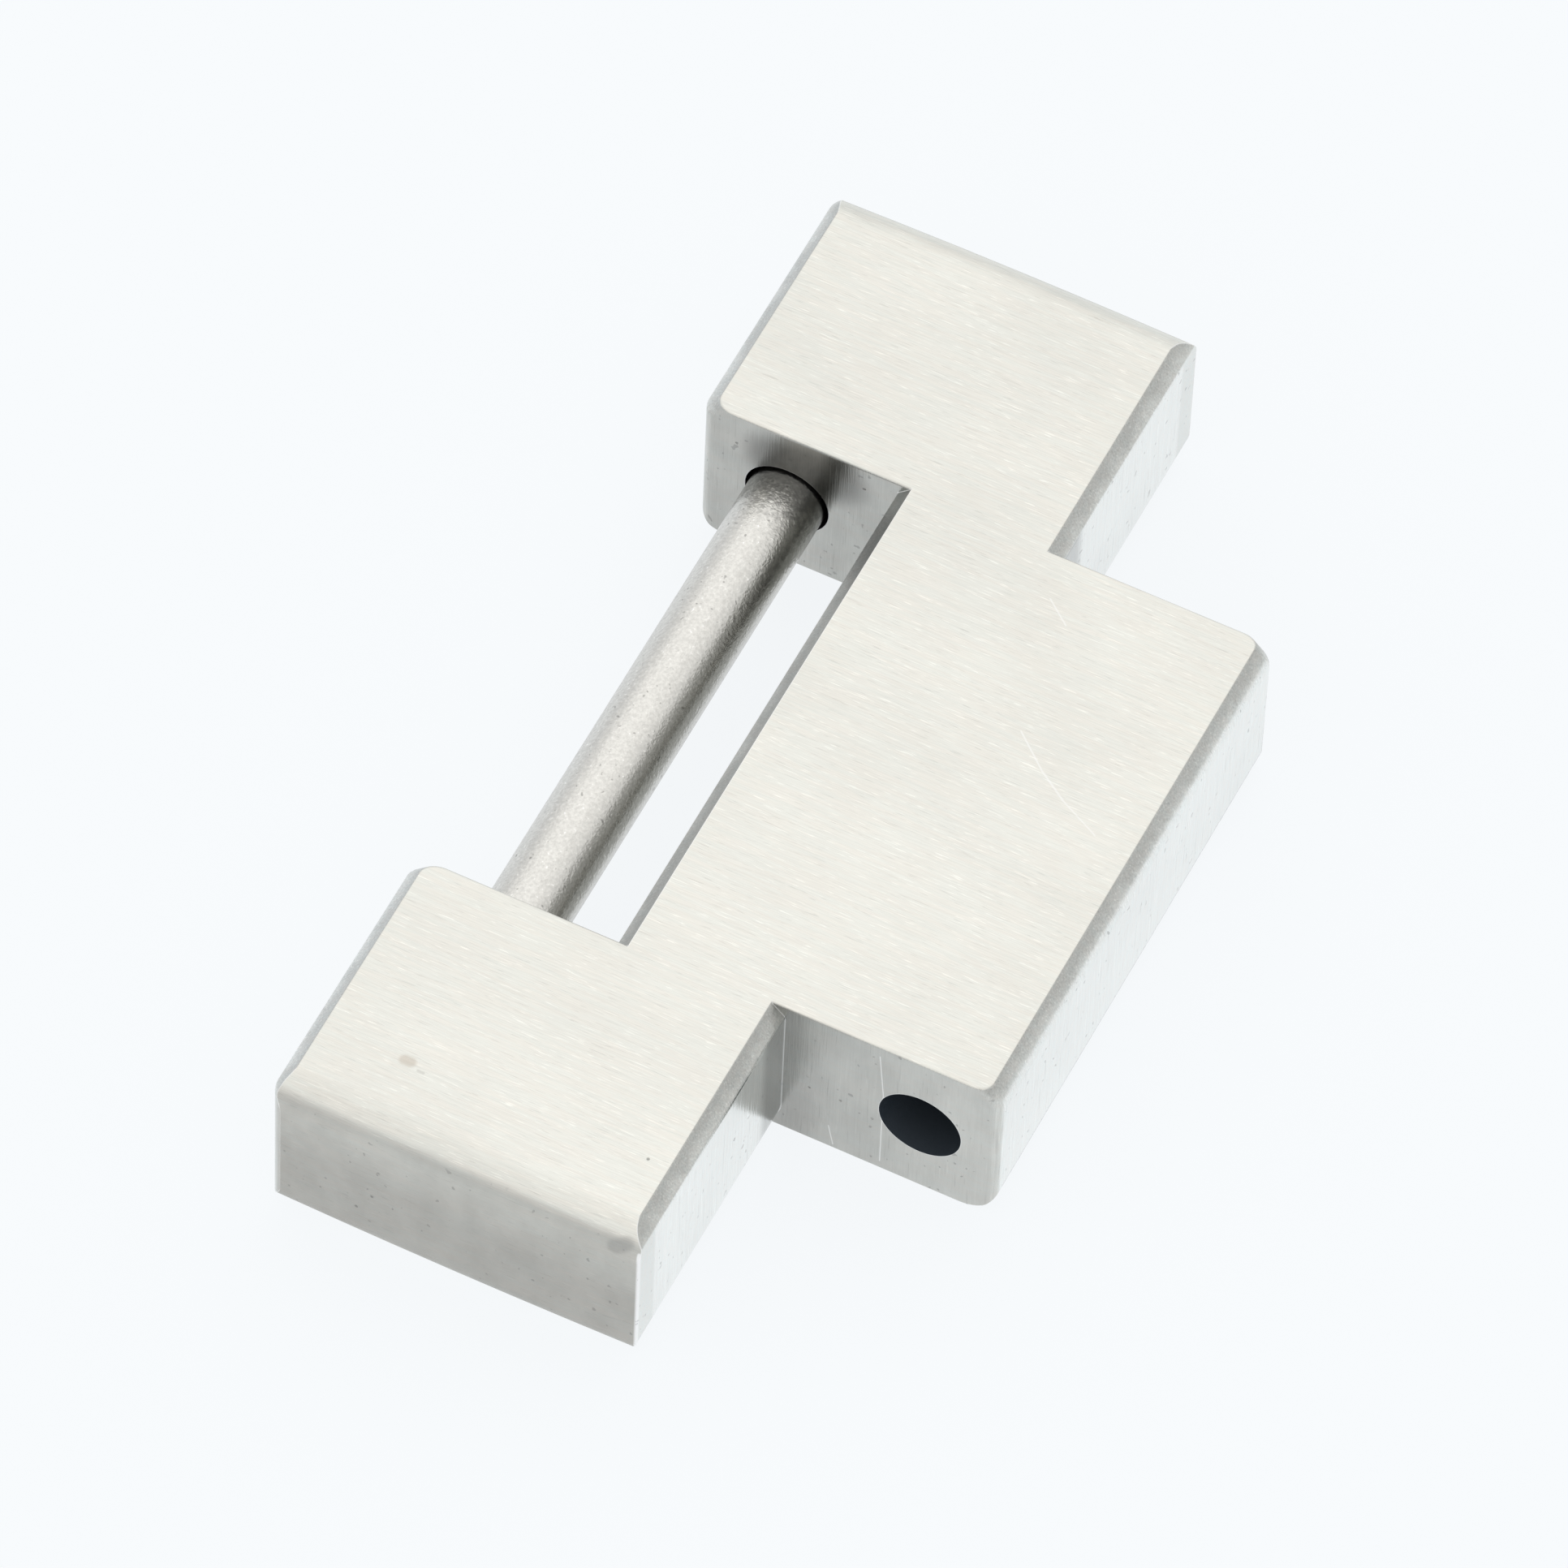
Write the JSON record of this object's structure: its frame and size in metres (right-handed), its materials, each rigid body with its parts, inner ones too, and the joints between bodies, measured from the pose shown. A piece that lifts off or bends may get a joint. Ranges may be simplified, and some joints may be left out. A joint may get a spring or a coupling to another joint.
{
  "type": "watch bracelet link",
  "caption": "Flat brushed steel bracelet link: a fork with a screwed cross tube at one edge, and a bored tongue at the other for the next link's tube.",
  "frame": {"origin": "on the underside, in the middle of the link's length and width", "axes": "+X across the bracelet towards the screw's head, +Y along the bracelet from the tongue to the fork, +Z out of the brushed face"},
  "size_m": [0.022, 0.0112, 0.0036],
  "materials": {
    "brushed_steel": "straight brushed grain along the bracelet, bright broken edges, matt milled flanks",
    "blasted_steel": "fine blasted matt",
    "turned_steel": "fine turned, satin head face"
  },
  "bodies": {
    "link": {"link_body": "brushed_steel"},
    "tube": {"pivot_tube": "blasted_steel"},
    "screw": {"link_screw": "turned_steel"}
  },
  "joints": [
    {"name": "tube_draw", "type": "slide", "parent": "link", "child": "tube", "axis": [1, 0, 0], "range_m": [0, 0.0195]},
    {"name": "screw_turn", "type": "hinge", "parent": "tube", "child": "screw", "pos_m": [0.01, 0.00388, 0.00178], "axis": [1, 0, 0], "range_deg": [0, 3744]}
  ]
}
